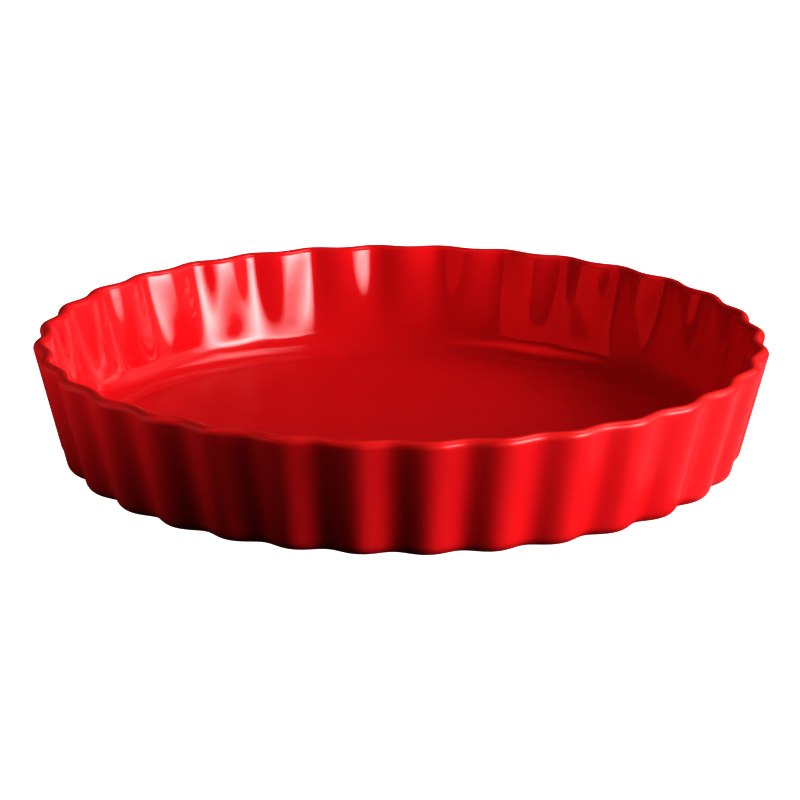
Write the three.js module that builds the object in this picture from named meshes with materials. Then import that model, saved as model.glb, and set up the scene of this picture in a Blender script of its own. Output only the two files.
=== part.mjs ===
// Round fluted flan dish in glazed stoneware: a clay body, the red glaze coat that wraps it,
// and the patch of glaze on its underside, inside the bare foot ring.
// Millimetres, +Z up. The origin is the centre of the foot ring's bearing face, and a flute crest lies on -Y.

import * as THREE from "three";

// Driving dimensions
const RIM_DIAMETER = 320; // over the flute crests, where the outer wall meets the round of the rim
const HEIGHT = 54.5; // from the table to the top of the rim
const WALL = 5.6; // thickness of the wall, square to it, glaze included
const WALL_LEAN = 14.9; // degrees that the wall leans out from upright
const FLOOR = 6; // thickness of the floor, glaze included
const FLUTE_COUNT = 32;
const FLUTE_DEPTH_RIM = 3; // crest to valley, at the rim
const FLUTE_DEPTH_BASE = 4.2; // crest to valley, at the underside
const FADE_BELOW_RIM = 4.5; // from the top of the rim to where the inner flutes start to fade
const FADE_ABOVE_FLOOR = 2; // from the floor to where the inner flutes are gone
const EDGE_ROUND = 8; // radius between the outer wall and the underside
const FLOOR_FILLET = 14; // radius between the floor and the inner wall
const FOOT_DIAMETER = 248; // outside of the foot ring, at the table
const FOOT_WIDTH = 6; // width of the foot ring's bearing face
const FOOT_HEIGHT = 1.5; // from the table to the glazed underside
const FOOT_DRAFT = 30; // degrees that the foot ring's sides lean
const GLAZE = 0.4; // thickness of the glaze
const BARE_MARGIN = 2; // bare clay left on each side of the foot ring

// Facets: the glazed surface is finer than the clay under it where both are round
const STEPS_PER_FLUTE = 6;
const UNDERSIDE_SEGMENTS = 64;
const GLAZE_STEPS = { edge: 2, rimOutside: 2, rimInside: 1, wallInside: 2, fillet: 2 };
const CLAY_STEPS = { edge: 2, rimOutside: 1, rimInside: 1, wallInside: 2, fillet: 2 };

const radians = THREE.MathUtils.degToRad;
const lean = radians(WALL_LEAN);
const floorTop = FOOT_HEIGHT + FLOOR;
const clayUnderside = FOOT_HEIGHT + GLAZE;
const footOuter = FOOT_DIAMETER / 2;
const footInner = footOuter - FOOT_WIDTH;
const footFlare = clayUnderside * Math.tan(radians(FOOT_DRAFT));
const glazeStart = footOuter + footFlare + BARE_MARGIN;
const patchRadius = footInner - footFlare - BARE_MARGIN;

// The meridian's three round stretches share their centres between the clay and the glaze.
// Radii here are to the middle of the flutes.
const wallNormal = new THREE.Vector2(Math.cos(lean), -Math.sin(lean));
const downWall = new THREE.Vector2(-Math.sin(lean), -Math.cos(lean));
const rimCentre = new THREE.Vector2(
  (RIM_DIAMETER - FLUTE_DEPTH_RIM - WALL * wallNormal.x) / 2,
  HEIGHT - WALL / 2,
);
const edgeCentre = besideWall(WALL / 2 - EDGE_ROUND, FOOT_HEIGHT + EDGE_ROUND);
const filletCentre = besideWall(-WALL / 2 - FLOOR_FILLET, floorTop + FLOOR_FILLET);

// The point at a height z that lies `offset` outside the middle of the wall.
function besideWall(offset, z) {
  const start = rimCentre.clone().addScaledVector(wallNormal, offset);
  return start.addScaledVector(downWall, (z - start.y) / downWall.y);
}

// Half the flute depth at a height on the outside of the wall, where it eases from the base to the rim.
function fluteOutside(z) {
  const share = (z - FOOT_HEIGHT) / (HEIGHT - FOOT_HEIGHT);
  return THREE.MathUtils.lerp(FLUTE_DEPTH_BASE, FLUTE_DEPTH_RIM, share) / 2;
}

// Half the flute depth at a height on the inside, where it fades from the rim down to a smooth floor.
function fluteInside(z) {
  const fade = THREE.MathUtils.smoothstep(z, floorTop + FADE_ABOVE_FLOOR, HEIGHT - FADE_BELOW_RIM);
  return (fade * FLUTE_DEPTH_RIM) / 2;
}

// Profile points on an arc, from one angle to another, in degrees anticlockwise from +r.
function arc(centre, radius, from, to, steps, flute) {
  return Array.from({ length: steps + 1 }, (_, i) => {
    const angle = radians(THREE.MathUtils.lerp(from, to, i / steps));
    const z = centre.y + radius * Math.sin(angle);
    return { r: centre.x + radius * Math.cos(angle), z, flute: flute(z) };
  });
}

// Profile points on the inner wall, between two others that are left out.
function insideWall(from, to, steps) {
  return Array.from({ length: steps - 1 }, (_, i) => {
    const z = THREE.MathUtils.lerp(from.z, to.z, (i + 1) / steps);
    return { r: THREE.MathUtils.lerp(from.r, to.r, (i + 1) / steps), z, flute: fluteInside(z) };
  });
}

// The dish's surface from the glaze line on its underside, up the outside, over the rim and down to the
// middle of the floor, `inset` below the glaze.
function dishSurface(inset, steps) {
  const edge = arc(edgeCentre, EDGE_ROUND - inset, -90, -WALL_LEAN, steps.edge, fluteOutside);
  const rimOutside = arc(rimCentre, WALL / 2 - inset, -WALL_LEAN, 90, steps.rimOutside, fluteOutside);
  const rimInside = arc(rimCentre, WALL / 2 - inset, 90, 180 - WALL_LEAN, steps.rimInside, fluteInside);
  const fillet = arc(filletCentre, FLOOR_FILLET + inset, -WALL_LEAN, -90, steps.fillet, fluteInside);
  return [
    { r: glazeStart, z: FOOT_HEIGHT + inset, flute: 0 },
    ...edge,
    ...rimOutside,
    ...rimInside.slice(1),
    ...insideWall(rimInside.at(-1), fillet[0], steps.wallInside),
    ...fillet,
    { r: 0, z: floorTop - inset, flute: 0 },
  ];
}

// The foot ring's outline, from the middle of the clay underside to the glaze line.
function footOutline() {
  return [
    { r: 0, z: clayUnderside, flute: 0 },
    { r: footInner - footFlare, z: clayUnderside, flute: 0 },
    { r: footInner, z: 0, flute: 0 },
    { r: footOuter, z: 0, flute: 0 },
    { r: footOuter + footFlare, z: clayUnderside, flute: 0 },
  ];
}

// Revolves a profile about Z, with the flutes as a cosine wave in its radius.
function revolve(profile, segments) {
  const outline = profile.map((p) => new THREE.Vector2(p.r, p.z));
  const geometry = new THREE.LatheGeometry(outline, segments);
  const position = geometry.attributes.position;
  for (let k = 0; k < position.count; k++) {
    const { r, flute } = profile[k % profile.length];
    const turn = (2 * Math.PI * Math.floor(k / profile.length)) / segments;
    const radius = r + flute * Math.cos(FLUTE_COUNT * turn);
    position.setX(k, radius * Math.sin(turn));
    position.setZ(k, radius * Math.cos(turn));
  }
  geometry.setIndex(shortDiagonals(position, profile.length, segments));
  return geometry.rotateX(Math.PI / 2);
}

// Splits each facet of a revolved grid along its shorter diagonal, so that two pieces that share
// a surface are split alike whichever way their profiles run.
function shortDiagonals(position, rows, segments) {
  const point = (k) => new THREE.Vector3().fromBufferAttribute(position, k);
  const index = [];
  for (let i = 0; i < segments; i++) {
    for (let j = 0; j < rows - 1; j++) {
      const a = i * rows + j;
      const [b, c, d] = [a + rows, a + rows + 1, a + 1];
      const acrossIsShorter = point(a).distanceTo(point(c)) < point(b).distanceTo(point(d));
      index.push(...(acrossIsShorter ? [a, b, c, a, c, d] : [a, b, d, c, d, b]));
    }
  }
  return index;
}

function part(name, profile, segments, material) {
  const mesh = new THREE.Mesh(revolve(profile, segments), material);
  mesh.name = name;
  return mesh;
}

const redGlaze = new THREE.MeshStandardMaterial({ color: 0xb5060c, roughness: 0.12, metalness: 0 });
const buffClay = new THREE.MeshStandardMaterial({ color: 0xc9a27e, roughness: 0.85, metalness: 0 });

const fluteSegments = FLUTE_COUNT * STEPS_PER_FLUTE;
const claySurface = dishSurface(GLAZE, CLAY_STEPS);
const glazedSurface = dishSurface(0, GLAZE_STEPS);

// The fired clay: floor, fluted wall and foot ring in one moulded piece.
const clayBody = part("clay_body", [...footOutline(), ...claySurface], fluteSegments, buffClay);

// The glaze over the outside, the rim and the inside, a closed coat that ends beside the foot ring.
const coatOutline = [...claySurface.toReversed(), ...glazedSurface];
const glazeCoat = part("glaze_coat", coatOutline, fluteSegments, redGlaze);

// The round patch of glaze on the underside, inside the foot ring.
const patchOutline = [
  { r: 0, z: FOOT_HEIGHT, flute: 0 },
  { r: patchRadius, z: FOOT_HEIGHT, flute: 0 },
  { r: patchRadius, z: clayUnderside, flute: 0 },
  { r: 0, z: clayUnderside, flute: 0 },
];
const undersideGlaze = part("underside_glaze", patchOutline, UNDERSIDE_SEGMENTS, redGlaze);

const dish = new THREE.Group();
dish.add(clayBody, glazeCoat, undersideGlaze);

export default dish;
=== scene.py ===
"""Looks of a round fluted flan dish in red glazed stoneware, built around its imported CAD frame.

The dish is a fired clay body under a glossy red glaze. Both follow one meridian that is revolved
about Z with a ring of flutes. Lengths are metres, +Z is up, and the origin is under the dish's centre.
"""

import logging
import math
from dataclasses import dataclass
from enum import Enum
from typing import Any, Optional, Union

import bpy
from mathutils import Matrix, Vector


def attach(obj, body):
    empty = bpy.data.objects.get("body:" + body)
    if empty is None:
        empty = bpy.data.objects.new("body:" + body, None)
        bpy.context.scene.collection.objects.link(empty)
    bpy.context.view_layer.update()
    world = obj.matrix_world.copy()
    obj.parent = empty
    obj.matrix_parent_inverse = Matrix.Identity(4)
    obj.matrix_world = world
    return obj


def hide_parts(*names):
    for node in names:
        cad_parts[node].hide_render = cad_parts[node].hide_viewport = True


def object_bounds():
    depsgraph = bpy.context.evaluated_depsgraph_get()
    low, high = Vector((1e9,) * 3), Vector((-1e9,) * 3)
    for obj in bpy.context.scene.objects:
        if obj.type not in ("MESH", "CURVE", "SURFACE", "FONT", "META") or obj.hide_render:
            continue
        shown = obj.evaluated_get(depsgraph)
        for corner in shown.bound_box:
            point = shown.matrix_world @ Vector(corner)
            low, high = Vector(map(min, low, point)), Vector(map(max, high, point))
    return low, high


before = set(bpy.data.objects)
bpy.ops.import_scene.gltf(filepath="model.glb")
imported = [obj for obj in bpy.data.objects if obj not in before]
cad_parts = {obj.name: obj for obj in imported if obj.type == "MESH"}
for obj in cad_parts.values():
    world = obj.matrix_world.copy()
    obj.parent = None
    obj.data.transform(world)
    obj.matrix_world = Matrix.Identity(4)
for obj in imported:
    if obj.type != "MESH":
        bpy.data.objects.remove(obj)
CAD_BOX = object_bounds()

LOG = logging.getLogger("flan_dish")

Colour = tuple[float, float, float, float]
Tint = tuple[float, float, float]
Operand = Union["Socket", float]

WHITE: Tint = (1.0, 1.0, 1.0)
RED_BOUNCE: Tint = (1.0, 0.03, 0.03)
NOISE_MIDDLE = 0.5


class CadNode(Enum):
    """The CAD nodes that the pieces here stand for."""

    CLAY_BODY = "clay_body"
    GLAZE_COAT = "glaze_coat"
    UNDERSIDE_GLAZE = "underside_glaze"


class Slot(Enum):
    """The record's material slots."""

    RED_GLAZE = "red_glaze"
    CLAY = "clay"


class Mark(Enum):
    """Attributes that the outlines carry, or the revolved meshes for their materials."""

    FLUTE = "flute"
    SIDE = "side"
    SATIN = "satin"
    THIN = "thin"
    # Painted shade in the hollows of the flutes, inside and out
    HOLLOW_SHADE = "hollow_shade"


class Shine(Enum):
    """What of a light reaches the dish."""

    ALL = "all"
    FILL = "fill"
    REFLECTION = "reflection"


class Socket:
    """A node's output socket, whose arithmetic adds Math nodes to its tree."""

    def __init__(self, tree: "NodeTree", output: bpy.types.NodeSocket) -> None:
        """Wraps one output of a node in a tree."""
        self.tree = tree
        self.output = output

    def math(self, operation: str, *operands: Operand) -> "Socket":
        """Adds a Math node.

        Args:
            operation: Blender's name for the operation.
            operands: The node's values or links, in order.

        Returns:
            The node's result.
        """
        return self.tree.add("ShaderNodeMath", {"operation": operation}, dict(enumerate(operands)))

    def __add__(self, other: Operand) -> "Socket":
        """This value plus another."""
        return self.math("ADD", self, other)

    def __radd__(self, other: Operand) -> "Socket":
        """Another value plus this one."""
        return self.math("ADD", other, self)

    def __sub__(self, other: Operand) -> "Socket":
        """This value less another."""
        return self.math("SUBTRACT", self, other)

    def __rsub__(self, other: Operand) -> "Socket":
        """Another value less this one."""
        return self.math("SUBTRACT", other, self)

    def __mul__(self, other: Operand) -> "Socket":
        """This value times another."""
        return self.math("MULTIPLY", self, other)

    def __rmul__(self, other: Operand) -> "Socket":
        """Another value times this one."""
        return self.math("MULTIPLY", other, self)

    def __truediv__(self, other: Operand) -> "Socket":
        """This value over another."""
        return self.math("DIVIDE", self, other)

    def __rtruediv__(self, other: Operand) -> "Socket":
        """Another value over this one."""
        return self.math("DIVIDE", other, self)

    def __mod__(self, other: Operand) -> "Socket":
        """What is left of this value after whole steps of another."""
        return self.math("FLOORED_MODULO", self, other)


class NodeTree:
    """A node tree of any kind, with one method that adds nodes to it."""

    def __init__(self, tree: bpy.types.NodeTree) -> None:
        """Takes over a tree and empties it."""
        self.tree = tree
        tree.nodes.clear()

    @staticmethod
    def find(sockets: bpy.types.bpy_prop_collection, key: Union[int, str]) -> bpy.types.NodeSocket:
        """Finds a node's socket.

        Args:
            sockets: The node's inputs or outputs.
            key: The socket's number, identifier or name.

        Returns:
            The socket.
        """
        named = [socket for socket in sockets if socket.identifier == key]
        return named[0] if named else sockets[key]

    def add(
        self,
        kind: str,
        settings: Optional[dict[str, Any]] = None,
        values: Optional[dict[Union[int, str], Any]] = None,
        output: Union[int, str] = 0,
    ) -> Optional[Socket]:
        """Adds one node.

        Args:
            kind: The node's type.
            settings: Properties of the node, set before its sockets.
            values: The values or links of its input sockets, by number, identifier or name.
            output: The output socket that is wanted.

        Returns:
            That output, or None for a node without outputs.
        """
        node = self.tree.nodes.new(kind)
        for name, value in (settings or {}).items():
            setattr(node, name, value)
        for key, value in (values or {}).items():
            socket = self.find(node.inputs, key)
            if isinstance(value, Socket):
                self.tree.links.new(value.output, socket)
            else:
                socket.default_value = value
        return Socket(self, self.find(node.outputs, output)) if len(node.outputs) else None


class ShaderTree(NodeTree):
    """The node tree of a new surface material."""

    def __init__(self, name: str) -> None:
        """Makes the material and empties its tree."""
        self.material = bpy.data.materials.new(name)
        self.material.use_nodes = True
        super().__init__(self.material.node_tree)

    def attribute(self, mark: Mark) -> Socket:
        """The value of one of the mesh's own attributes."""
        return self.add("ShaderNodeAttribute", {"attribute_name": mark.value}, output="Fac")

    def noise(self, scale: float, detail: float = 2.0, roughness: float = 0.5) -> Socket:
        """Smooth noise on the object's own coordinates.

        Args:
            scale: Waves to the metre.
            detail: How many finer layers it has.
            roughness: How strong the finer layers are.

        Returns:
            A value about one half, from 0 to 1.
        """
        place = self.add("ShaderNodeTexCoord", output="Object")
        values = {"Vector": place, "Scale": scale, "Detail": detail, "Roughness": roughness}
        return self.add("ShaderNodeTexNoise", {}, values)

    def mix(self, share: Operand, first: Union[Socket, Colour], second: Union[Socket, Colour]) -> Socket:
        """A colour between two others.

        Args:
            share: How much of the second colour there is.
            first: The colour at 0.
            second: The colour at 1.

        Returns:
            The mixed colour.
        """
        settings = {"data_type": "RGBA", "clamp_factor": True}
        values = {"Factor_Float": share, "A_Color": first, "B_Color": second}
        return self.add("ShaderNodeMix", settings, values, "Result_Color")

    def bump(self, height: Socket, depth: float, strength: float = 1.0) -> Socket:
        """A normal tilted by a height map.

        Args:
            height: The height, from 0 to 1.
            depth: What a height of 1 measures.
            strength: How much of it is used.

        Returns:
            The tilted normal.
        """
        values = {"Height": height, "Distance": depth, "Strength": strength}
        return self.add("ShaderNodeBump", {}, values)

    def surface(self, values: dict[str, Any]) -> bpy.types.Material:
        """Ends the tree in a Principled shader.

        Args:
            values: The shader's values or links.

        Returns:
            The finished material.
        """
        shader = self.add("ShaderNodeBsdfPrincipled", {}, values)
        self.add("ShaderNodeOutputMaterial", {}, {"Surface": shader})
        return self.material


@dataclass(frozen=True)
class RedGlaze:
    """A glossy red glaze, with painted shade that darkens it in the hollows of the flutes, and paler where
    it runs thin.
    """

    body: Colour = (0.69, 0.017, 0.023, 1.0)
    # The darker red of the painted shade in the hollows of the flutes, and of the random clouding
    shade_and_cloud: Colour = (0.54, 0.008, 0.012, 1.0)
    worn_thin: Colour = (0.74, 0.03, 0.026, 1.0)
    # How much painted shade darkens the hollows of the flutes
    hollow_shade_share: float = 0.45
    cloud_share: float = 0.5
    thin_share: float = 0.7
    roughness_gloss: float = 0.07
    roughness_satin: float = 0.32
    roughness_spread: float = 0.05
    refraction: float = 1.45
    cloud_scale: float = 11.0
    cloud_detail: float = 3.0
    ripple_scale: float = 38.0
    ripple_depth: float = 0.00035
    relief_detail: float = 1.0
    peel_scale: float = 420.0
    peel_depth: float = 0.000012

    def material(self) -> bpy.types.Material:
        """Builds the glaze's material."""
        tree = ShaderTree("red_glaze")
        cloud = tree.noise(self.cloud_scale, self.cloud_detail) - NOISE_MIDDLE
        # Painted shade: darker in the hollows of the flutes, plus random clouding
        shade_and_cloud = tree.attribute(Mark.HOLLOW_SHADE) * self.hollow_shade_share + cloud * self.cloud_share
        colour = tree.mix(shade_and_cloud, self.body, self.shade_and_cloud)
        colour = tree.mix(tree.attribute(Mark.THIN) * self.thin_share, colour, self.worn_thin)
        satin = tree.attribute(Mark.SATIN) * (self.roughness_satin - self.roughness_gloss)
        ripple = tree.noise(self.ripple_scale, self.relief_detail)
        peel = tree.noise(self.peel_scale, self.relief_detail)
        height = ripple + peel * (self.peel_depth / self.ripple_depth)
        return tree.surface(
            {
                "Base Color": colour,
                "Roughness": cloud * self.roughness_spread + satin + self.roughness_gloss,
                "IOR": self.refraction,
                "Normal": tree.bump(height, self.ripple_depth),
            }
        )


@dataclass(frozen=True)
class FiredClay:
    """Bare buff clay, matt and grainy, with a few darker specks."""

    buff: Colour = (0.55, 0.36, 0.22, 1.0)
    toasted: Colour = (0.4, 0.22, 0.12, 1.0)
    speck: Colour = (0.16, 0.085, 0.05, 1.0)
    toast_scale: float = 16.0
    toast_detail: float = 3.0
    grain_scale: float = 1400.0
    grain_detail: float = 4.0
    grain_sharpness: float = 0.65
    grain_depth: float = 0.00012
    speck_scale: float = 520.0
    speck_floor: float = 0.68
    speck_gain: float = 9.0
    roughness: float = 0.82
    roughness_spread: float = 0.16

    def material(self) -> bpy.types.Material:
        """Builds the clay's material."""
        tree = ShaderTree("fired_clay")
        grain = tree.noise(self.grain_scale, self.grain_detail, self.grain_sharpness)
        toast = tree.noise(self.toast_scale, self.toast_detail)
        colour = tree.mix(toast, self.buff, self.toasted)
        specks = (tree.noise(self.speck_scale) - self.speck_floor) * self.speck_gain
        colour = tree.mix(specks, colour, self.speck)
        return tree.surface(
            {
                "Base Color": colour,
                "Roughness": grain * self.roughness_spread + self.roughness,
                "Normal": tree.bump(grain, self.grain_depth),
            }
        )


@dataclass(frozen=True)
class PaleBoard:
    """The plain white board that the dish stands on."""

    colour: Colour = (0.86, 0.86, 0.86, 1.0)
    shade: Colour = (0.82, 0.82, 0.82, 1.0)
    glow: float = 0.93
    fibre_scale: float = 90.0
    roughness: float = 0.9

    def material(self) -> bpy.types.Material:
        """Builds the board's material."""
        tree = ShaderTree("pale_board")
        return tree.surface(
            {
                "Base Color": tree.mix(tree.noise(self.fibre_scale), self.colour, self.shade),
                "Roughness": self.roughness,
                "Emission Color": (*WHITE, 1.0),
                "Emission Strength": self.glow,
            }
        )


@dataclass(frozen=True)
class DishSizes:
    """The dish's sizes, as the CAD model has them, with the finer ones that only its looks need."""

    rim_diameter: float
    height: float
    wall: float = 0.0056
    wall_lean: float = 14.9
    floor: float = 0.006
    flute_count: int = 32
    flute_depth_rim: float = 0.003
    flute_depth_base: float = 0.0042
    crest_outside: float = -0.05
    crest_inside: float = 0.1
    fade_below_rim: float = 0.0045
    fade_above_floor: float = 0.002
    edge_round: float = 0.008
    floor_fillet: float = 0.014
    foot_diameter: float = 0.248
    foot_width: float = 0.006
    foot_height: float = 0.0015
    foot_draft: float = 30.0
    foot_corner: float = 0.0007
    glaze: float = 0.0004
    glaze_roll: float = 0.0009
    bare_margin: float = 0.002
    box_margin: float = 0.00002


@dataclass(frozen=True)
class OutlinePoint:
    """A point of a meridian, with its share of the flutes and what the glaze does there."""

    r: float
    z: float
    flute: float = 0.0
    side: float = 0.0
    satin: float = 0.0
    thin: float = 0.0


@dataclass(frozen=True)
class OutlineSteps:
    """How finely a meridian's stretches are divided."""

    roll: int = 6
    underside: int = 4
    edge: int = 14
    wall: int = 10
    rim: int = 24
    fillet: int = 18
    floor: int = 6


FINE = OutlineSteps()
HIDDEN = OutlineSteps(roll=1, underside=1, edge=6, wall=2, rim=8, fillet=8, floor=2)


def smooth_step(share: float) -> float:
    """A smooth rise from 0 to 1."""
    return share * share * (3.0 - 2.0 * share)


def along(start: float, end: float, steps: int) -> list[float]:
    """Even values from start to end, both included."""
    return [start + (end - start) * i / steps for i in range(steps + 1)]


def direction(azimuth: float, elevation: float) -> Vector:
    """The unit vector at an azimuth from the front, anticlockwise from above, and an elevation."""
    turn = math.radians(azimuth)
    lift = math.radians(elevation)
    return Vector((math.sin(turn) * math.cos(lift), -math.cos(turn) * math.cos(lift), math.sin(lift)))


class Meridian:
    """The dish's section on one side of its axis. Radii are to the middle of the flutes."""

    SATIN_START = 1.0 / 3.0

    def __init__(self, sizes: DishSizes) -> None:
        """Works out the section's centres and limits from the dish's sizes."""
        self.sizes = sizes
        lean = math.radians(sizes.wall_lean)
        self.out = Vector((math.cos(lean), -math.sin(lean)))
        self.down = Vector((-math.sin(lean), -math.cos(lean)))
        self.floor_top = sizes.foot_height + sizes.floor
        self.rim_centre = Vector((self.rim_radius() - sizes.wall / 2, sizes.height - sizes.wall / 2))
        self.clay_underside = sizes.foot_height + sizes.glaze
        self.edge_centre = self.beside_wall(
            sizes.wall / 2 - sizes.edge_round, sizes.foot_height + sizes.edge_round
        )
        self.fillet_centre = self.beside_wall(
            -sizes.wall / 2 - sizes.floor_fillet, self.floor_top + sizes.floor_fillet
        )
        flare = self.clay_underside * math.tan(math.radians(sizes.foot_draft))
        self.foot_outer = sizes.foot_diameter / 2
        self.foot_inner = self.foot_outer - sizes.foot_width
        self.foot_outer_root = self.foot_outer + flare
        self.foot_inner_root = self.foot_inner - flare
        self.glaze_start = self.foot_outer_root + sizes.bare_margin
        self.patch_radius = self.foot_inner_root - sizes.bare_margin

    def rim_radius(self) -> float:
        """The radius of the rim's outside, between the crests and the valleys of its flutes."""
        sizes = self.sizes
        share = sizes.wall / 2 / (sizes.height - sizes.foot_height)
        depth = sizes.flute_depth_rim + (sizes.flute_depth_base - sizes.flute_depth_rim) * share
        return sizes.rim_diameter / 2 - depth / 2 * (1.0 + sizes.crest_outside) - sizes.box_margin

    def beside_wall(self, offset: float, z: float) -> Vector:
        """The point at a height z that lies `offset` outside the middle of the wall."""
        start = self.rim_centre + self.out * offset
        return start + self.down * ((z - start.y) / self.down.y)

    @staticmethod
    def on_arc(centre: Vector, radius: float, degrees: float) -> Vector:
        """The point of an arc at an angle from outwards."""
        angle = math.radians(degrees)
        return centre + radius * Vector((math.cos(angle), math.sin(angle)))

    def surface(self, inset: float, steps: OutlineSteps) -> list[OutlinePoint]:
        """The dish's surface from its underside, over the rim and to the middle of its floor.

        Args:
            inset: How deep the surface lies under the glaze's own.
            steps: How finely it is divided.

        Returns:
            The points from the glaze line on the underside to the axis.
        """
        lean = self.sizes.wall_lean
        bottom = self.sizes.foot_height + inset
        edge_round = self.sizes.edge_round - inset
        rim_round = self.sizes.wall / 2 - inset
        fillet = self.sizes.floor_fillet + inset
        points = []
        for share in along(0.0, 1.0, steps.underside)[1:-1]:
            r = self.glaze_start + (self.edge_centre.x - self.glaze_start) * share
            points.append(OutlinePoint(r, bottom, smooth_step(share), 1.0, 1.0))
        for angle in along(-90.0, -lean, steps.edge):
            p = self.on_arc(self.edge_centre, edge_round, angle)
            points.append(OutlinePoint(p.x, p.y, 1.0, 1.0, 1.0))
        foot_of_rim = self.on_arc(self.rim_centre, rim_round, -lean)
        points += self.wall_points(points[-1], foot_of_rim, 1.0, steps.wall)
        for share in along(0.0, 1.0, steps.rim):
            p = self.on_arc(self.rim_centre, rim_round, 180.0 * share - lean)
            turned = math.cos(math.pi * share)
            points.append(OutlinePoint(p.x, p.y, 1.0, turned, (1.0 + turned) / 2, 1.0 - turned * turned))
        top_of_fillet = self.on_arc(self.fillet_centre, fillet, -lean)
        points += self.wall_points(points[-1], top_of_fillet, -1.0, steps.wall)
        for share in along(0.0, 1.0, steps.fillet):
            p = self.on_arc(self.fillet_centre, fillet, -lean - (90.0 - lean) * share)
            rise = max(0.0, share - self.SATIN_START) / (1.0 - self.SATIN_START)
            points.append(OutlinePoint(p.x, p.y, 1.0, -1.0, smooth_step(rise)))
        for share in along(1.0, 0.0, steps.floor)[1:]:
            r = self.fillet_centre.x * share
            points.append(OutlinePoint(r, self.floor_top - inset, 0.0, -1.0, 1.0))
        return points

    @staticmethod
    def wall_points(start: OutlinePoint, end: Vector, side: float, steps: int) -> list[OutlinePoint]:
        """The points between the two ends of a straight stretch of wall.

        Args:
            start: The point before the stretch.
            end: The place of the point after it.
            side: 1 on the outside and -1 on the inside.
            steps: How finely it is divided.

        Returns:
            The points, without the two ends.
        """
        points = []
        for share in along(0.0, 1.0, steps)[1:-1]:
            r = start.r + (end.x - start.r) * share
            z = start.z + (end.y - start.z) * share
            points.append(OutlinePoint(r, z, 1.0, side, max(side, 0.0)))
        return points

    def glaze_edge(self, line: float, inwards: float) -> list[OutlinePoint]:
        """The rounded edge of the glaze on the underside.

        Args:
            line: The radius where the glaze meets the bare clay.
            inwards: 1 if the glaze lies outside that line, and -1 if it lies inside.

        Returns:
            The points from the clay down to the glaze's surface.
        """
        points = []
        for angle in along(0.0, 90.0, FINE.roll):
            turn = math.radians(angle)
            r = line + inwards * self.sizes.glaze_roll * (1.0 - math.cos(turn))
            z = self.clay_underside - self.sizes.glaze * math.sin(turn)
            points.append(OutlinePoint(r, z, thin=math.cos(turn)))
        return points

    def coat(self) -> list[OutlinePoint]:
        """The closed outline of the glaze coat."""
        edge = self.glaze_edge(self.glaze_start, 1.0)
        hidden = self.surface(self.sizes.glaze, HIDDEN)
        return edge + self.surface(0.0, FINE) + hidden[::-1] + edge[:1]

    def patch(self) -> list[OutlinePoint]:
        """The outline of the glaze patch under the floor, from axis to axis."""
        edge = self.glaze_edge(self.patch_radius, -1.0)
        rings = along(0.0, self.patch_radius - self.sizes.glaze_roll, FINE.floor)[:-1]
        face = [OutlinePoint(r, self.sizes.foot_height) for r in rings]
        return face + edge[::-1] + [OutlinePoint(0.0, self.clay_underside)]

    def clay(self) -> list[OutlinePoint]:
        """The outline of the clay body, from the middle of its underside to the middle of its floor."""
        root = self.clay_underside
        corner = self.sizes.foot_corner
        corners = [
            Vector((0.0, root)),
            Vector((self.foot_inner_root, root)),
            Vector((self.foot_inner, 0.0)),
            Vector((self.foot_outer, 0.0)),
            Vector((self.foot_outer_root, root)),
            Vector((self.glaze_start, root)),
        ]
        points = [OutlinePoint(0.0, root), OutlinePoint(self.patch_radius, root)]
        for before, at, after in zip(corners, corners[1:], corners[2:]):
            points += self.rounded(before, at, after, corner)
        points.append(OutlinePoint(self.glaze_start, root))
        return points + self.surface(self.sizes.glaze, HIDDEN)

    @staticmethod
    def rounded(
        before: Vector, at: Vector, after: Vector, radius: float, steps: int = 5
    ) -> list[OutlinePoint]:
        """Rounds one corner of an outline.

        Args:
            before: The corner before it.
            at: The corner.
            after: The corner after it.
            radius: The radius of the round.
            steps: How finely it is divided.

        Returns:
            The points of the round.
        """
        back = (before - at).normalized()
        ahead = (after - at).normalized()
        half = back.angle(ahead) / 2
        middle = at + (back + ahead).normalized() * (radius / math.sin(half))
        start = at + back * (radius / math.tan(half)) - middle
        end = at + ahead * (radius / math.tan(half)) - middle
        swing = start.angle_signed(end)
        points = []
        for share in along(0.0, 1.0, steps):
            p = middle + Matrix.Rotation(-swing * share, 2) @ start
            points.append(OutlinePoint(p.x, p.y))
        return points


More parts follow.
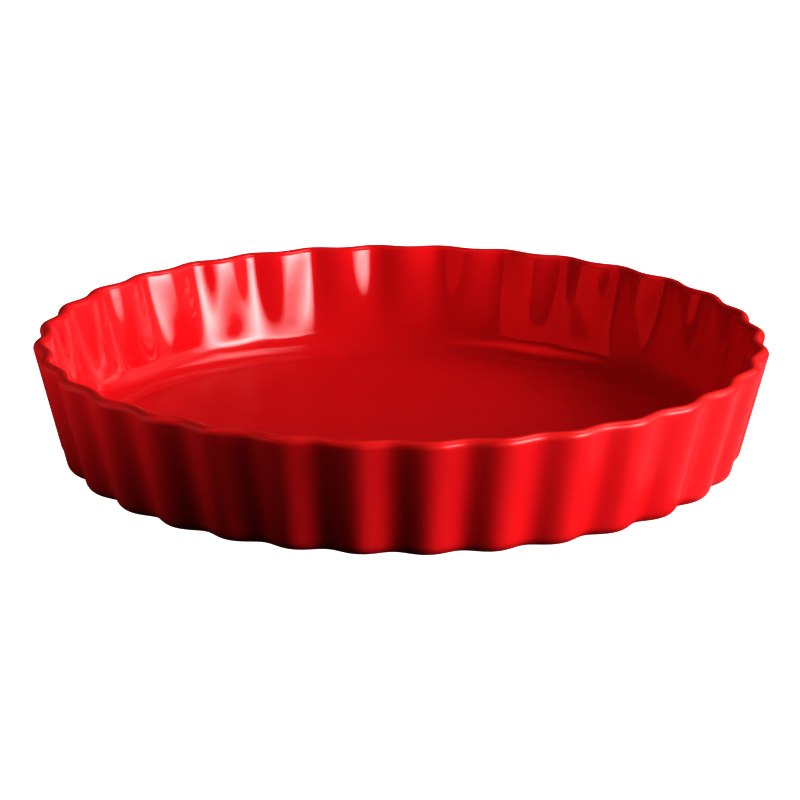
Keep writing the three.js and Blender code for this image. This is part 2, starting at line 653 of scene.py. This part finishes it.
class FlutedRevolve:
    """A Geometry Nodes tree that revolves an outline about Z and flutes it."""

    SIZES = {
        "Flute Count": "NodeSocketInt",
        "Steps per Flute": "NodeSocketInt",
        "Flute Depth at Base": "NodeSocketFloat",
        "Flute Depth at Rim": "NodeSocketFloat",
        "Crest Outside": "NodeSocketFloat",
        "Crest Inside": "NodeSocketFloat",
        "Base Height": "NodeSocketFloat",
        "Rim Height": "NodeSocketFloat",
        "Fade Bottom": "NodeSocketFloat",
        "Fade Top": "NodeSocketFloat",
        "Material": "NodeSocketMaterial",
    }
    WELD = 1e-6

    def __init__(self) -> None:
        """Builds the tree."""
        self.group = bpy.data.node_groups.new("fluted_revolve", "GeometryNodeTree")
        face = self.group.interface
        face.new_socket("Outline", in_out="INPUT", socket_type="NodeSocketGeometry")
        self.inputs = {
            name: face.new_socket(name, in_out="INPUT", socket_type=kind).identifier
            for name, kind in self.SIZES.items()
        }
        face.new_socket("Mesh", in_out="OUTPUT", socket_type="NodeSocketGeometry")
        self.tree = NodeTree(self.group)
        self.lay_out()

    def given(self, name: str) -> Socket:
        """One of the tree's own inputs."""
        return self.tree.add("NodeGroupInput", output=name)

    def sampled(self, value: Socket, kind: str, row: Socket) -> Socket:
        """A value of the outline at one of its points.

        Args:
            value: The field that is read.
            kind: The field's data type.
            row: The number of the outline's point.

        Returns:
            The value there.
        """
        values = {"Geometry": self.given("Outline"), "Value": value, "Index": row}
        return self.tree.add("GeometryNodeSampleIndex", {"data_type": kind}, values)

    def marked(self, mark: Mark, row: Socket) -> Socket:
        """One of the outline's marks at one of its points."""
        kind = "FLOAT"
        named = self.tree.add("GeometryNodeInputNamedAttribute", {"data_type": kind}, {"Name": mark.value})
        return self.sampled(named, kind, row)

    def stored(self, mesh: Socket, mark: Mark, value: Socket) -> Socket:
        """Keeps a value on the mesh for its material.

        Args:
            mesh: The mesh.
            mark: The attribute's name.
            value: The value at each of its points.

        Returns:
            The mesh with that attribute.
        """
        settings = {"data_type": "FLOAT", "domain": "POINT"}
        values = {"Geometry": mesh, "Name": mark.value, "Value": value}
        return self.tree.add("GeometryNodeStoreNamedAttribute", settings, values)

    @staticmethod
    def between(first: Socket, second: Socket, share: Socket) -> Socket:
        """A value between two others, the second at a share of 1."""
        return first + (second - first) * share

    def depth(self, z: Socket, rim_depth: Socket, inside: Socket) -> Socket:
        """The flutes' depth, which grows to the base outside and fades towards the floor inside.

        Args:
            z: The height.
            rim_depth: The depth at the rim.
            inside: 0 on the outside of the dish and 1 on its inside.

        Returns:
            The depth there.
        """
        base_height = self.given("Base Height")
        rise = (z - base_height) / (self.given("Rim Height") - base_height)
        limits = {"From Min": self.given("Fade Bottom"), "From Max": self.given("Fade Top"), "Value": z}
        fade = self.tree.add("ShaderNodeMapRange", {"interpolation_type": "SMOOTHSTEP"}, limits)
        outside = self.between(self.given("Flute Depth at Base"), rim_depth, rise)
        return self.between(outside, rim_depth * fade, inside)

    def lay_out(self) -> None:
        """Lays out the nodes, from the flat grid to the finished mesh."""
        tree = self.tree
        outline = {"Geometry": self.given("Outline")}
        rows = tree.add("GeometryNodeAttributeDomainSize", {"component": "MESH"}, outline, "Point Count")
        flutes = self.given("Flute Count")
        columns = flutes * self.given("Steps per Flute")
        grid = tree.add("GeometryNodeMeshGrid", {}, {"Vertices X": columns + 1.0, "Vertices Y": rows})
        index = tree.add("GeometryNodeInputIndex")
        row = index % rows
        turn = (index - row) / rows / columns * math.tau
        place = self.sampled(tree.add("GeometryNodeInputPosition"), "FLOAT_VECTOR", row)
        r = tree.add("ShaderNodeSeparateXYZ", {}, {0: place}, "X")
        z = tree.add("ShaderNodeSeparateXYZ", {}, {0: place}, "Z")
        side = self.marked(Mark.SIDE, row)
        rim_depth = self.given("Flute Depth at Rim")
        inside = (1.0 - side) / 2.0
        depth = self.depth(z, rim_depth, inside) * self.marked(Mark.FLUTE, row)
        angle = turn * flutes
        wave = angle.math("COSINE", angle)
        crest = self.between(self.given("Crest Outside"), self.given("Crest Inside"), inside)
        double = angle * 2.0
        radius = r + (wave + double.math("COSINE", double) * crest) * depth / 2.0
        spot = {
            "X": radius * turn.math("SINE", turn),
            "Y": radius * turn.math("COSINE", turn) * -1.0,
            "Z": z,
        }
        position = tree.add("ShaderNodeCombineXYZ", {}, spot)
        mesh = tree.add("GeometryNodeSetPosition", {}, {"Geometry": grid, "Position": position})
        # Painted shade: higher in the hollows of the flutes and lower on their crests, inside and out
        mesh = self.stored(mesh, Mark.HOLLOW_SHADE, 0.5 - wave * side * depth / rim_depth / 2.0)
        mesh = self.stored(mesh, Mark.SATIN, self.marked(Mark.SATIN, row))
        mesh = self.stored(mesh, Mark.THIN, self.marked(Mark.THIN, row))
        mesh = tree.add("GeometryNodeMergeByDistance", {}, {"Geometry": mesh, "Distance": self.WELD})
        mesh = tree.add("GeometryNodeSetShadeSmooth", {}, {"Geometry": mesh})
        mesh = tree.add("GeometryNodeRealizeInstances", {}, {"Geometry": mesh})
        values = {"Geometry": mesh, "Material": self.given("Material")}
        tree.add("NodeGroupOutput", {}, {0: tree.add("GeometryNodeSetMaterial", {}, values)})

    def piece(
        self,
        name: str,
        outline: list[OutlinePoint],
        sizes: DishSizes,
        material: bpy.types.Material,
        steps_per_flute: int,
    ) -> bpy.types.Object:
        """Revolves an outline into a finished piece.

        Args:
            name: The piece's name.
            outline: Its outline, closed or from axis to axis.
            sizes: The dish's sizes.
            material: The piece's material.
            steps_per_flute: How finely each flute is divided.

        Returns:
            The piece, as a plain mesh object at the origin.
        """
        mesh = bpy.data.meshes.new(name)
        links = [(i, i + 1) for i in range(len(outline) - 1)]
        mesh.from_pydata([(p.r, 0.0, p.z) for p in outline], links, [])
        for mark in (Mark.FLUTE, Mark.SIDE, Mark.SATIN, Mark.THIN):
            layer = mesh.attributes.new(mark.value, "FLOAT", "POINT")
            layer.data.foreach_set("value", [getattr(p, mark.value) for p in outline])
        piece = bpy.data.objects.new(name, mesh)
        bpy.context.scene.collection.objects.link(piece)
        modifier = piece.modifiers.new("fluted_revolve", "NODES")
        modifier.node_group = self.group
        given = {
            "Flute Count": sizes.flute_count,
            "Steps per Flute": steps_per_flute,
            "Flute Depth at Base": sizes.flute_depth_base,
            "Flute Depth at Rim": sizes.flute_depth_rim,
            "Crest Outside": sizes.crest_outside,
            "Crest Inside": sizes.crest_inside,
            "Base Height": sizes.foot_height,
            "Rim Height": sizes.height,
            "Fade Bottom": sizes.foot_height + sizes.floor + sizes.fade_above_floor,
            "Fade Top": sizes.height - sizes.fade_below_rim,
            "Material": material,
        }
        for label, value in given.items():
            modifier[self.inputs[label]] = value
        view = bpy.context.evaluated_depsgraph_get()
        made = bpy.data.meshes.new_from_object(piece.evaluated_get(view))
        piece.modifiers.remove(modifier)
        piece.data = made
        made.name = name
        bpy.data.meshes.remove(mesh)
        return piece


@dataclass
class FlutedDish:
    """The dish: its clay body, its glaze coat and the glaze patch on its underside."""

    sizes: DishSizes
    glaze: RedGlaze = RedGlaze()
    clay: FiredClay = FiredClay()
    fine_steps: int = 20
    body: str = "root"

    def build(self) -> list[bpy.types.Object]:
        """Builds every piece and joins it to the frame.

        Returns:
            The pieces.
        """
        meridian = Meridian(self.sizes)
        revolve = FlutedRevolve()
        red = self.glaze.material()
        buff = self.clay.material()
        plan = [
            (CadNode.CLAY_BODY, meridian.clay(), buff, Slot.CLAY),
            (CadNode.GLAZE_COAT, meridian.coat(), red, Slot.RED_GLAZE),
            (CadNode.UNDERSIDE_GLAZE, meridian.patch(), red, Slot.RED_GLAZE),
        ]
        pieces = []
        for node, outline, material, slot in plan:
            piece = revolve.piece("fine_" + node.value, outline, self.sizes, material, self.fine_steps)
            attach(piece, self.body)
            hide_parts(node.value)
            pieces.append(piece)
        return pieces


@dataclass(frozen=True)
class Panel:
    """A rectangular studio light, seen from the dish at an azimuth and an elevation."""

    name: str
    azimuth: float
    elevation: float
    distance: float
    width: float
    height: float
    radiance: float
    shine: Shine = Shine.ALL
    colour: Tint = WHITE

    WATTS_PER_RADIANCE = 4.0

    def place(self) -> Vector:
        """The middle of the panel."""
        return self.distance * direction(self.azimuth, self.elevation)

    def facing(self) -> Vector:
        """The way that the panel shines."""
        return -self.place()

    def build(self) -> None:
        """Adds the light to the scene."""
        lamp = bpy.data.lights.new(self.name, "AREA")
        lamp.shape = "RECTANGLE"
        lamp.color = self.colour
        lamp.size = self.width
        lamp.size_y = self.height
        lamp.energy = self.radiance * self.width * self.height * self.WATTS_PER_RADIANCE
        light = bpy.data.objects.new(self.name, lamp)
        light.location = self.place()
        light.rotation_mode = "QUATERNION"
        light.rotation_quaternion = self.facing().to_track_quat("-Z", "Y")
        light.visible_camera = False
        light.visible_diffuse = self.shine is not Shine.REFLECTION
        light.visible_glossy = self.shine is not Shine.FILL
        bpy.context.scene.collection.objects.link(light)


@dataclass(frozen=True)
class SoftPanel(Panel):
    """A studio light that is brightest in its middle and dims towards its edges."""

    core: float = 0.2
    layers: int = 8
    spacing: float = 0.02

    def build(self) -> None:
        """Adds the light to the scene, as a stack of panels, with the largest one nearest the dish."""
        for share in along(self.core, 1.0, self.layers - 1):
            layer = Panel(
                self.name,
                self.azimuth,
                self.elevation,
                self.distance - self.spacing * share,
                self.width * share,
                self.height * share,
                self.radiance / self.layers,
                self.shine,
                self.colour,
            )
            layer.build()


@dataclass(frozen=True)
class FloorCard(Panel):
    """A bright card that lies on the floor and shines up."""

    lift: float = 0.0005

    def place(self) -> Vector:
        """The middle of the card, just above the floor."""
        return super().place() + Vector((0.0, 0.0, self.lift))

    def facing(self) -> Vector:
        """The way that the card shines."""
        return Vector((0.0, 0.0, 1.0))


@dataclass(frozen=True)
class Viewpoint:
    """The photograph's camera, worked out from the dish's rim, flutes and lower edge."""

    distance: float = 1.85
    azimuth: float = -4.5
    elevation: float = 16.646
    roll: float = 0.242
    aim_height: float = 0.02499
    aim_right: float = -0.00046
    focal_pixels: float = 4224.8
    image_pixels: float = 800.0
    sensor: float = 36.0
    nearest: float = 0.05
    farthest: float = 50.0

    def build(self) -> None:
        """Adds the camera to the scene and makes it the scene's own."""
        back = direction(self.azimuth, self.elevation)
        right = direction(self.azimuth + 90.0, 0.0)
        aim = right * self.aim_right + Vector((0.0, 0.0, self.aim_height))
        lens = bpy.data.cameras.new("photo_camera")
        lens.sensor_width = self.sensor
        lens.lens = self.focal_pixels / self.image_pixels * self.sensor
        lens.clip_start = self.nearest
        lens.clip_end = self.farthest
        camera = bpy.data.objects.new("photo_camera", lens)
        facing = (-back).to_track_quat("-Z", "Y").to_matrix().to_4x4()
        spin = Matrix.Rotation(math.radians(self.roll), 4, "Z")
        camera.matrix_world = Matrix.Translation(aim + back * self.distance) @ facing @ spin
        bpy.context.scene.collection.objects.link(camera)
        bpy.context.scene.camera = camera


@dataclass
class Studio:
    """The floor, the lights and the camera round the dish."""

    board: PaleBoard = PaleBoard()
    viewpoint: Viewpoint = Viewpoint()
    floor_reach: float = 8.0
    ambient: float = 0.015
    view_transform: str = "Standard"
    look: str = "High Contrast"
    # Each light's name, azimuth, elevation, distance, width, height and radiance
    lights: tuple[Panel, ...] = (
        SoftPanel("key_softbox", 57.0, 21.0, 1.6, 1.35, 0.75, 11.8),
        Panel("key_low", 65.0, 4.0, 1.6, 0.8, 0.25, 18.0, Shine.FILL),
        SoftPanel("high_softbox", 100.0, 58.0, 1.6, 0.8, 0.8, 3.0),
        SoftPanel("right_panel", 104.0, 24.0, 1.6, 1.5, 0.7, 0.4),
        Panel("right_fill", 100.0, 36.0, 1.6, 0.7, 0.4, 5.0, Shine.FILL),
        SoftPanel("wash", 85.0, 25.0, 1.9, 3.2, 1.7, 0.6, Shine.REFLECTION),
        Panel("left_softbox", -70.0, 20.0, 1.6, 1.3, 0.8, 2.2, Shine.REFLECTION, RED_BOUNCE),
        SoftPanel("left_high", -82.0, 60.0, 1.6, 1.3, 0.9, 4.5, Shine.REFLECTION, RED_BOUNCE),
        Panel("left_fill", -98.0, 21.0, 1.6, 1.1, 0.7, 1.7, Shine.FILL),
        Panel("back_fill", 180.0, 5.0, 1.6, 2.0, 0.3, 4.0, Shine.FILL),
        FloorCard("left_card", -82.0, 0.0, 0.5, 0.3, 0.4, 6.5, Shine.FILL),
        FloorCard("right_card", 62.0, 0.0, 0.42, 0.5, 0.6, 0.22, Shine.REFLECTION),
    )

    def build(self) -> None:
        """Adds everything to the scene."""
        self.lay_floor()
        for light in self.lights:
            light.build()
        self.viewpoint.build()
        self.set_ambient()
        view = bpy.context.scene.view_settings
        view.view_transform = self.view_transform
        view.look = self.look

    def lay_floor(self) -> None:
        """Adds the board, which the dish doesn't mirror."""
        reach = self.floor_reach
        mesh = bpy.data.meshes.new("pale_floor")
        corners = [(-reach, -reach, 0.0), (reach, -reach, 0.0), (reach, reach, 0.0), (-reach, reach, 0.0)]
        mesh.from_pydata(corners, [], [(0, 1, 2, 3)])
        mesh.materials.append(self.board.material())
        floor = bpy.data.objects.new("pale_floor", mesh)
        floor.visible_diffuse = False
        floor.visible_glossy = False
        bpy.context.scene.collection.objects.link(floor)

    def set_ambient(self) -> None:
        """Sets the even light that comes from all round."""
        world = bpy.data.worlds.new("studio")
        world.use_nodes = True
        bpy.context.scene.world = world
        tree = NodeTree(world.node_tree)
        values = {"Color": (*WHITE, 1.0), "Strength": self.ambient}
        tree.add("ShaderNodeOutputWorld", {}, {"Surface": tree.add("ShaderNodeBackground", {}, values)})


def main() -> None:
    """Builds the dish and the studio round it."""
    logging.basicConfig(level=logging.INFO, format="%(name)s: %(message)s")
    low, high = CAD_BOX
    dish = FlutedDish(DishSizes(rim_diameter=high.x - low.x, height=high.z))
    for piece in dish.build():
        LOG.info("%s has %d faces", piece.name, len(piece.data.polygons))
    Studio().build()


if __name__ == "__main__":
    main()
